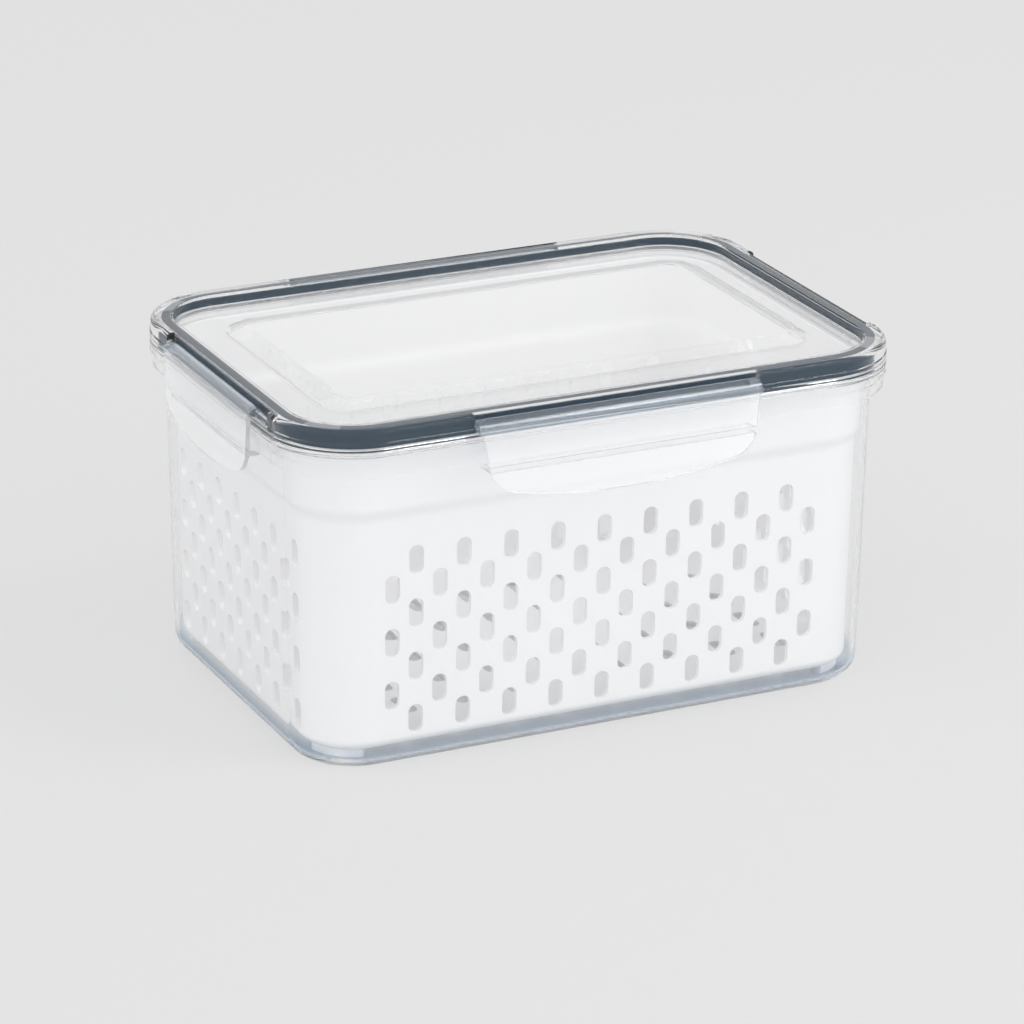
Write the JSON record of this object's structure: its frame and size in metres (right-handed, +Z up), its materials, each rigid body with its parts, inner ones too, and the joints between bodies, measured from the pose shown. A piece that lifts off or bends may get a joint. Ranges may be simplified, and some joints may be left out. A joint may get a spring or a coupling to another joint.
{
  "type": "fridge container with drain basket",
  "caption": "Clear lidded food container with a lift-out slotted drain basket, a soft rim seal and hinged latches that hook under a collar on every side.",
  "frame": {"origin": "middle of the flat base, on the surface the container stands on", "axes": "+X along the long side to the viewer's right, +Y from the front latch to the back latch, +Z up"},
  "size_m": [0.182, 0.135, 0.097],
  "materials": {
    "clear_bin": "clear, polished",
    "clear_lid": "clear, polished",
    "clear_latch": "clear, polished",
    "white_basket": "satin white",
    "seal_silicone": "soft, satin"
  },
  "bodies": {
    "bin": {"container": "clear_bin"},
    "basket": {"drain_basket": "white_basket"},
    "cover": {"lid": "clear_lid", "seal_ring": "seal_silicone"},
    "front_flap": {"front_latch": "clear_latch"},
    "back_flap": {"back_latch": "clear_latch"},
    "left_flap": {"left_latch": "clear_latch"},
    "right_flap": {"right_latch": "clear_latch"}
  },
  "joints": [
    {"name": "lid_lift", "type": "slide", "parent": "bin", "child": "cover", "axis": [0, 0, 1], "range_m": [0, 0.2]},
    {"name": "basket_lift", "type": "slide", "parent": "bin", "child": "basket", "axis": [0, 0, 1], "range_m": [0, 0.1]},
    {"name": "front_hinge", "type": "hinge", "parent": "cover", "child": "front_flap", "pos_m": [0, -0.0615, 0.0941], "axis": [-1, 0, 0], "range_deg": [0, 110]},
    {"name": "back_hinge", "type": "hinge", "parent": "cover", "child": "back_flap", "pos_m": [0, 0.0615, 0.0941], "axis": [1, 0, 0], "range_deg": [0, 110]},
    {"name": "left_hinge", "type": "hinge", "parent": "cover", "child": "left_flap", "pos_m": [-0.0885, 0, 0.0941], "axis": [0, 1, 0], "range_deg": [0, 110]},
    {"name": "right_hinge", "type": "hinge", "parent": "cover", "child": "right_flap", "pos_m": [0.0885, 0, 0.0941], "axis": [0, -1, 0], "range_deg": [0, 110]}
  ],
  "couplings": [
    {"joint": "basket_lift", "follows": "lid_lift", "ratio": 0.5}
  ]
}
